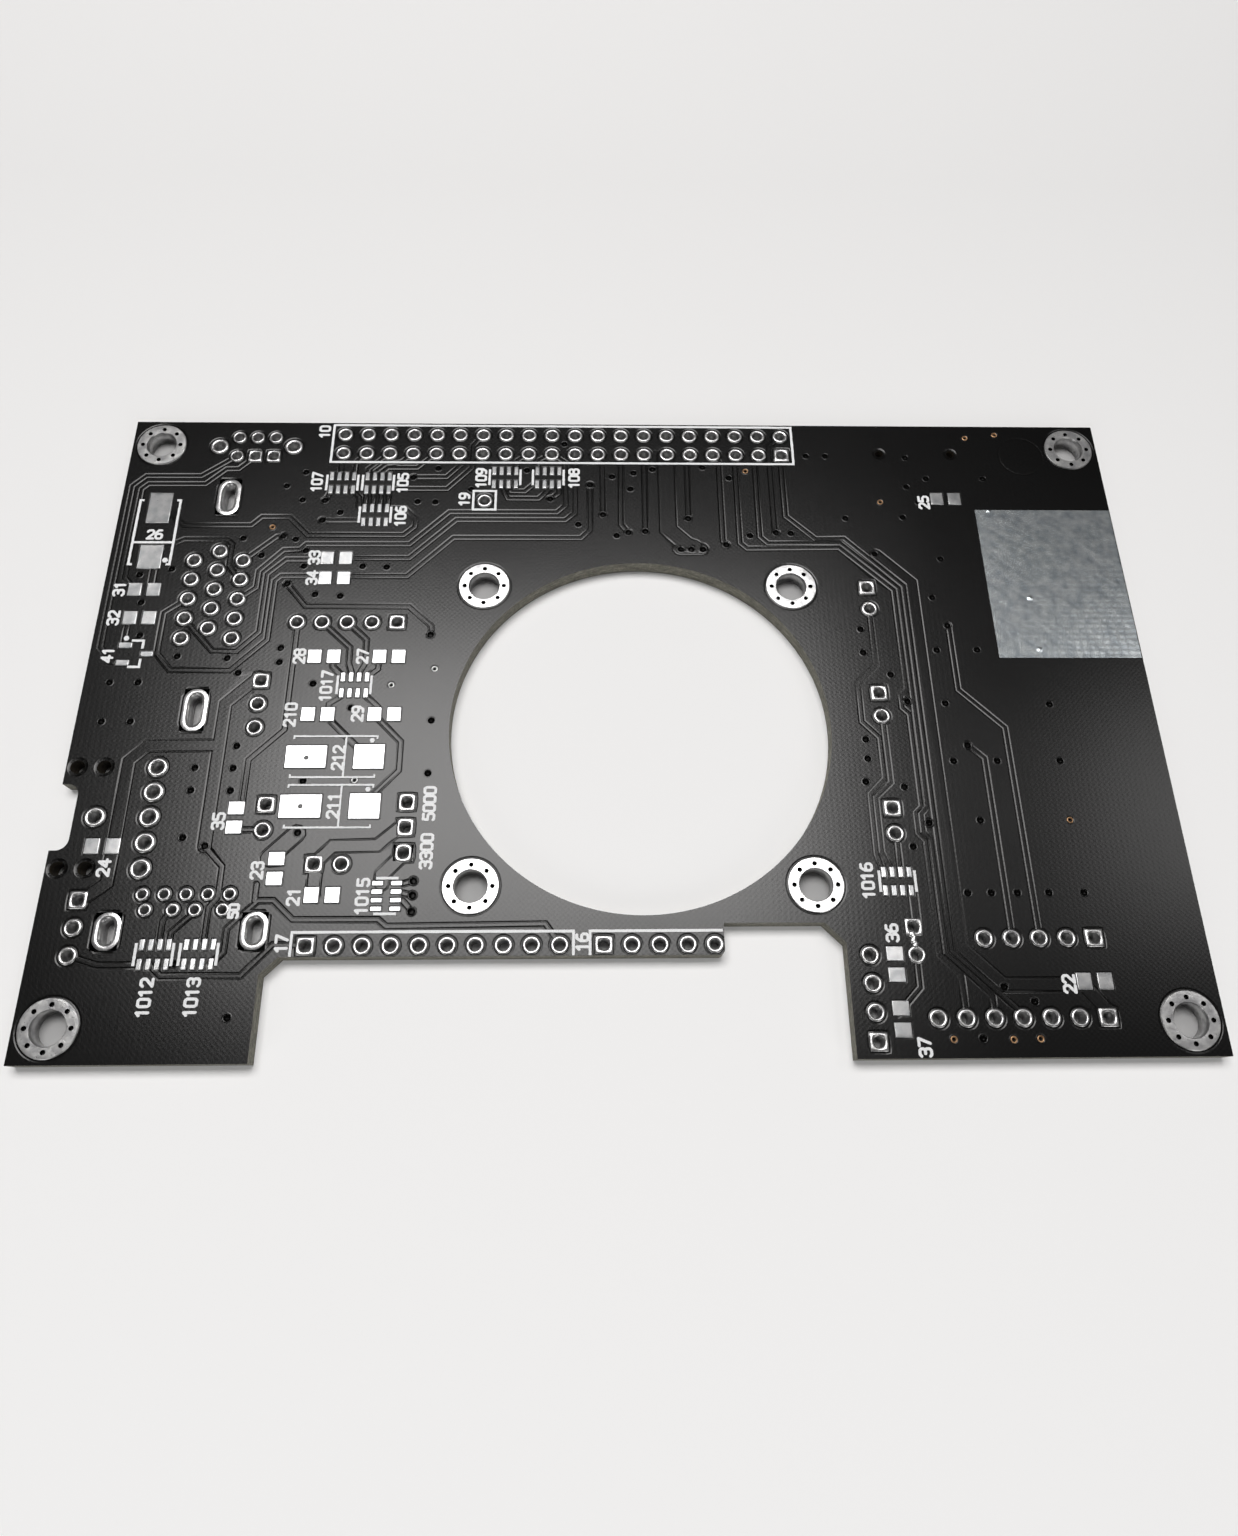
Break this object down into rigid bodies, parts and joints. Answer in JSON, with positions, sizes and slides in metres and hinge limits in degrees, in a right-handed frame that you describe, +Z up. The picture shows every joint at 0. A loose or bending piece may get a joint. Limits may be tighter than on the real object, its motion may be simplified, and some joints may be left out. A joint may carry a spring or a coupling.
{
  "type": "input output expansion board",
  "caption": "Bare black expansion circuit board with tinned pads, plated pin rows, a round fan opening with screw holes, corner mounting holes and a stepped gap in its near edge",
  "frame": {"origin": "middle of the outline rectangle on the underside", "axes": "X along the long edge to the right, Y towards the edge with the two-row header, Z up out of the printed face"},
  "size_m": [0.1066, 0.0684, 0.0017],
  "materials": {
    "solder_mask": "dark satin solder mask over copper, with laminate showing at the cut edges",
    "tin": "dull bright hot-air levelled tin",
    "ink": "flat white printed ink"
  },
  "bodies": {
    "root": {"board": "solder_mask", "corner_hole_lands": "tin", "fan_hole_lands": "tin", "slot_lands": "tin", "long_header_lands": "tin", "front_header_lands": "tin", "front_short_header_lands": "tin", "left_header_lands": "tin", "right_header_lands": "tin", "right_front_header_lands": "tin", "round_socket_lands": "tin", "round_socket_tab_lands": "tin", "fifteen_pin_socket_lands": "tin", "jack_lands": "tin", "nine_pin_socket_lands": "tin", "three_way_lands": "tin", "two_way_lands": "tin", "jumper_lands": "tin", "test_point_land": "tin", "power_pair_lands": "tin", "bridged_pair_lands": "tin", "four_way_lands": "tin", "chip_resistor_pads": "tin", "chip_capacitor_pads": "tin", "large_capacitor_pads": "tin", "transistor_pads": "tin", "resistor_array_pads": "tin", "bare_tinned_area": "tin", "long_header_outline": "ink", "front_header_outlines": "ink", "test_point_outline": "ink", "resistor_array_outlines": "ink", "capacitor_outlines": "ink", "transistor_outline": "ink"}
  },
  "joints": []
}
